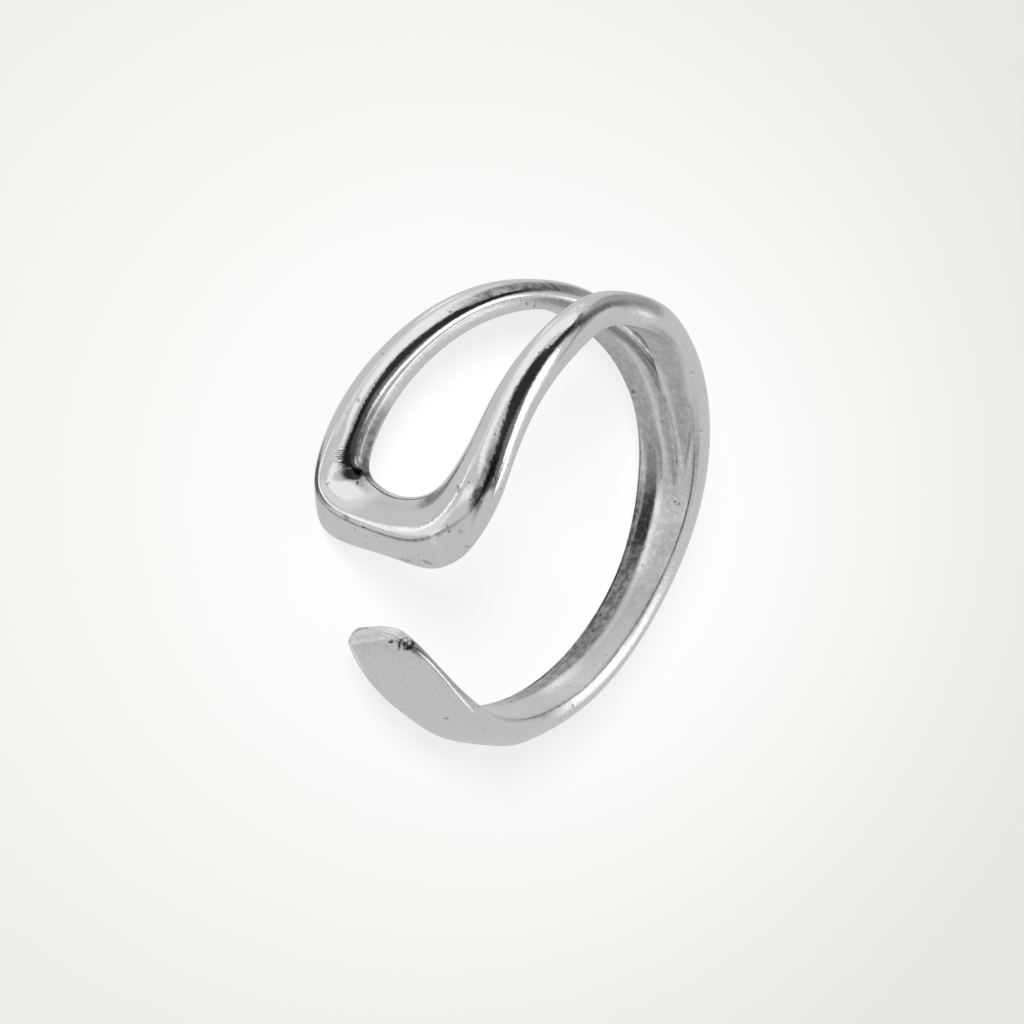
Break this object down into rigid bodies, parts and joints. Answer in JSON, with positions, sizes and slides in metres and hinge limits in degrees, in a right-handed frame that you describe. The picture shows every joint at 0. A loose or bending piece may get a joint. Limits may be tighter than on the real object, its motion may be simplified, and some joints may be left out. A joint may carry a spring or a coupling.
{
  "type": "open wrap ring",
  "caption": "Open finger ring: a long wire loop on top narrows into one band that ends in a flat twisted paddle.",
  "frame": {"origin": "middle of the finger hole, on its axis", "axes": "+Z along the finger axis towards the loop's near leg; -X to the loop's closed end; -Y to the paddle"},
  "size_m": [0.0201, 0.0199, 0.0097],
  "materials": {
    "silver": "bright polished silver plate over brass"
  },
  "bodies": {
    "root": {"ring_band": "silver"}
  },
  "joints": []
}
